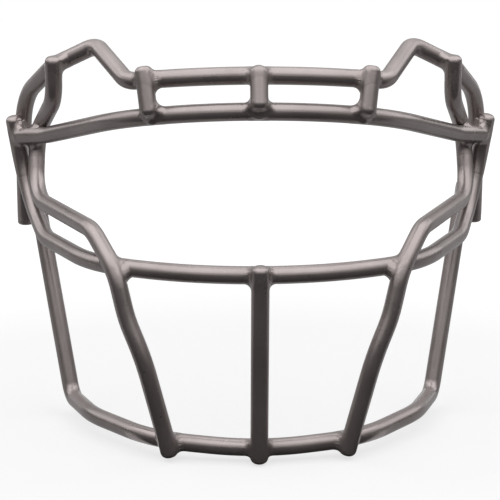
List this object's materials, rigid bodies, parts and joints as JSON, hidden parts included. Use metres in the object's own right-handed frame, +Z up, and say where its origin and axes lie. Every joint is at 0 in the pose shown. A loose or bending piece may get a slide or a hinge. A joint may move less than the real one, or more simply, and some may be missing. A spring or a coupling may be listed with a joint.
{
  "type": "football helmet facemask",
  "caption": "Adult football helmet facemask: a rigid cage of bent steel wires with a grey coat, open over the eyes and mouth, with struts on the brow bars.",
  "frame": {"origin": "under the middle of the cage, level with its lowest wire", "axes": "+Z up as worn, -Y towards the front of the mask, +X to the wearer's left"},
  "size_m": [0.2152, 0.1195, 0.1668],
  "materials": {
    "coated_wire": "glossy",
    "coated_weld": "glossy"
  },
  "bodies": {
    "root": {"top_wire": "coated_wire", "brow_bar": "coated_wire", "mid_bar": "coated_wire", "chin_wire": "coated_wire", "left_upright": "coated_wire", "right_upright": "coated_wire", "centre_upright": "coated_wire", "left_brow_strut": "coated_wire", "centre_brow_strut": "coated_wire", "right_brow_strut": "coated_wire", "strut_top_welds": "coated_weld", "strut_bottom_welds": "coated_weld", "upright_top_welds": "coated_weld", "upright_brow_welds": "coated_weld", "upright_mid_welds": "coated_weld", "upright_chin_welds": "coated_weld", "centre_mid_weld": "coated_weld", "centre_chin_weld": "coated_weld", "brow_end_welds": "coated_weld", "mid_end_welds": "coated_weld", "jaw_end_welds": "coated_weld"}
  },
  "joints": []
}
